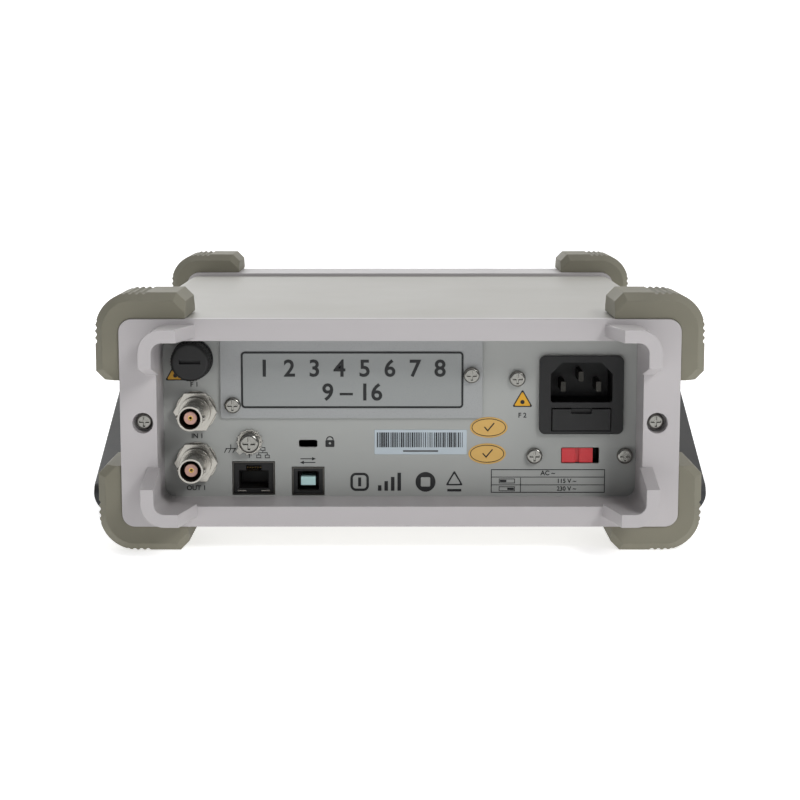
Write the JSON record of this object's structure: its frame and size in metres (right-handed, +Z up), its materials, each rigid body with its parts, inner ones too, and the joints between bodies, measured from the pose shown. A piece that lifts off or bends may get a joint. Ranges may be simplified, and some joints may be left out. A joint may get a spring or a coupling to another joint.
{
  "type": "bench digital multimeter",
  "caption": "Half-rack bench instrument with recessed rear connector panel, rubber corner bumpers, cord hooks and a swinging carry handle.",
  "frame": {"origin": "middle of the footprint, on the plane that the lower bumpers stand on", "axes": "+Z up; the front panel faces -Y and the rear panel +Y; +X is to the right of someone facing the front"},
  "size_m": [0.26, 0.296, 0.101],
  "materials": {
    "warm_grey_paint": "fine satin powder coat",
    "light_grey_plastic": "satin moulded plastic",
    "grey_green_rubber": "matt moulded rubber",
    "charcoal_plastic": "fine grained moulded plastic",
    "panel_paint": "fine satin paint",
    "plate_paint": "speckled satin paint",
    "black_plastic": "moulded plastic",
    "nickel": "nickel plate",
    "screw_steel": "zinc plated",
    "pink_insulator": "moulded insulator",
    "gold_contact": "gold plated",
    "teal_plastic": "moulded plastic",
    "slider_red": "moulded plastic",
    "fuse_glass": "clear glass with plated caps",
    "window_acrylic": "smoked window",
    "key_plastic": "satin moulded keys",
    "jack_red": "moulded shroud",
    "jack_black": "moulded shroud",
    "board_green": "solder mask",
    "tray_steel": "zinc plated sheet",
    "transformer_core": "varnished laminations"
  },
  "bodies": {
    "case": {"bnc_contacts": "gold_contact", "bnc_insulators": "pink_insulator", "bnc_nuts": "nickel", "bnc_shells": "nickel", "chassis_tray": "tray_steel", "cover_sleeve": "warm_grey_paint", "display_module": "black_plastic", "display_window": "window_acrylic", "front_bezel": "light_grey_plastic", "front_board": "board_green", "front_bumper_lower_left": "grey_green_rubber", "front_bumper_lower_right": "grey_green_rubber", "front_bumper_upper_left": "grey_green_rubber", "front_bumper_upper_right": "grey_green_rubber", "fuse_holder": "black_plastic", "ground_lug": "nickel", "ground_screw": "screw_steel", "handle_pivots": "charcoal_plastic", "inlet_body": "black_plastic", "inlet_pins": "nickel", "jack_contacts": "gold_contact", "jack_sleeves_black": "jack_black", "jack_sleeves_red": "jack_red", "lan_insert": "black_plastic", "lan_shield": "nickel", "main_board": "board_green", "option_cover": "plate_paint", "option_cover_screws": "screw_steel", "rear_bumper_lower_left": "grey_green_rubber", "rear_bumper_lower_right": "grey_green_rubber", "rear_bumper_upper_left": "grey_green_rubber", "rear_bumper_upper_right": "grey_green_rubber", "rear_frame": "light_grey_plastic", "rear_frame_screws": "screw_steel", "rear_panel": "panel_paint", "rear_panel_screws": "screw_steel", "selector_body": "black_plastic", "transformer": "transformer_core", "usb_host_port": "nickel", "usb_shell": "nickel", "usb_tongue": "teal_plastic"},
    "handle": {"carry_handle": "charcoal_plastic"},
    "fuse_carrier": {"fuse_carrier": "black_plastic", "current_fuse": "fuse_glass"},
    "fuse_cap": {"fuse_cap": "black_plastic"},
    "inlet_drawer": {"inlet_fuse_drawer": "black_plastic", "mains_fuse": "fuse_glass"},
    "voltage_slider": {"selector_slider": "slider_red"},
    "function_key_1": {"function_key_1": "key_plastic"},
    "function_key_2": {"function_key_2": "key_plastic"},
    "function_key_3": {"function_key_3": "key_plastic"},
    "function_key_4": {"function_key_4": "key_plastic"},
    "function_key_5": {"function_key_5": "key_plastic"},
    "function_key_6": {"function_key_6": "key_plastic"},
    "power_key": {"power_key": "key_plastic"},
    "soft_key_1": {"soft_key_1": "key_plastic"},
    "soft_key_2": {"soft_key_2": "key_plastic"},
    "soft_key_3": {"soft_key_3": "key_plastic"},
    "soft_key_4": {"soft_key_4": "key_plastic"},
    "soft_key_5": {"soft_key_5": "key_plastic"}
  },
  "joints": [
    {"name": "handle_swing", "type": "hinge", "parent": "case", "child": "handle", "pos_m": [0, -0.058, 0.05], "axis": [-1, 0, 0], "range_deg": [0, 250]},
    {"name": "fuse_carrier_draw", "type": "slide", "parent": "case", "child": "fuse_carrier", "axis": [0, 1, 0], "range_m": [0, 0.04]},
    {"name": "fuse_cap_turn", "type": "hinge", "parent": "fuse_carrier", "child": "fuse_cap", "pos_m": [0.082, 0.11, 0.0732], "axis": [0, 1, 0], "range_deg": [0, 90]},
    {"name": "inlet_drawer_draw", "type": "slide", "parent": "case", "child": "inlet_drawer", "axis": [0, 1, 0], "range_m": [0, 0.018]},
    {"name": "voltage_slide", "type": "slide", "parent": "case", "child": "voltage_slider", "axis": [-1, 0, 0], "range_m": [0, 0.0022]},
    {"name": "function_key_1_press", "type": "slide", "parent": "case", "child": "function_key_1", "axis": [0, 1, 0], "range_m": [0, 0.0012], "stiffness_N_per_m": 600, "springref_m": -0.0005},
    {"name": "function_key_2_press", "type": "slide", "parent": "case", "child": "function_key_2", "axis": [0, 1, 0], "range_m": [0, 0.0012], "stiffness_N_per_m": 600, "springref_m": -0.0005},
    {"name": "function_key_3_press", "type": "slide", "parent": "case", "child": "function_key_3", "axis": [0, 1, 0], "range_m": [0, 0.0012], "stiffness_N_per_m": 600, "springref_m": -0.0005},
    {"name": "function_key_4_press", "type": "slide", "parent": "case", "child": "function_key_4", "axis": [0, 1, 0], "range_m": [0, 0.0012], "stiffness_N_per_m": 600, "springref_m": -0.0005},
    {"name": "function_key_5_press", "type": "slide", "parent": "case", "child": "function_key_5", "axis": [0, 1, 0], "range_m": [0, 0.0012], "stiffness_N_per_m": 600, "springref_m": -0.0005},
    {"name": "function_key_6_press", "type": "slide", "parent": "case", "child": "function_key_6", "axis": [0, 1, 0], "range_m": [0, 0.0012], "stiffness_N_per_m": 600, "springref_m": -0.0005},
    {"name": "power_key_press", "type": "slide", "parent": "case", "child": "power_key", "axis": [0, 1, 0], "range_m": [0, 0.0012], "stiffness_N_per_m": 600, "springref_m": -0.0005},
    {"name": "soft_key_1_press", "type": "slide", "parent": "case", "child": "soft_key_1", "axis": [0, 1, 0], "range_m": [0, 0.0012], "stiffness_N_per_m": 600, "springref_m": -0.0005},
    {"name": "soft_key_2_press", "type": "slide", "parent": "case", "child": "soft_key_2", "axis": [0, 1, 0], "range_m": [0, 0.0012], "stiffness_N_per_m": 600, "springref_m": -0.0005},
    {"name": "soft_key_3_press", "type": "slide", "parent": "case", "child": "soft_key_3", "axis": [0, 1, 0], "range_m": [0, 0.0012], "stiffness_N_per_m": 600, "springref_m": -0.0005},
    {"name": "soft_key_4_press", "type": "slide", "parent": "case", "child": "soft_key_4", "axis": [0, 1, 0], "range_m": [0, 0.0012], "stiffness_N_per_m": 600, "springref_m": -0.0005},
    {"name": "soft_key_5_press", "type": "slide", "parent": "case", "child": "soft_key_5", "axis": [0, 1, 0], "range_m": [0, 0.0012], "stiffness_N_per_m": 600, "springref_m": -0.0005}
  ]
}
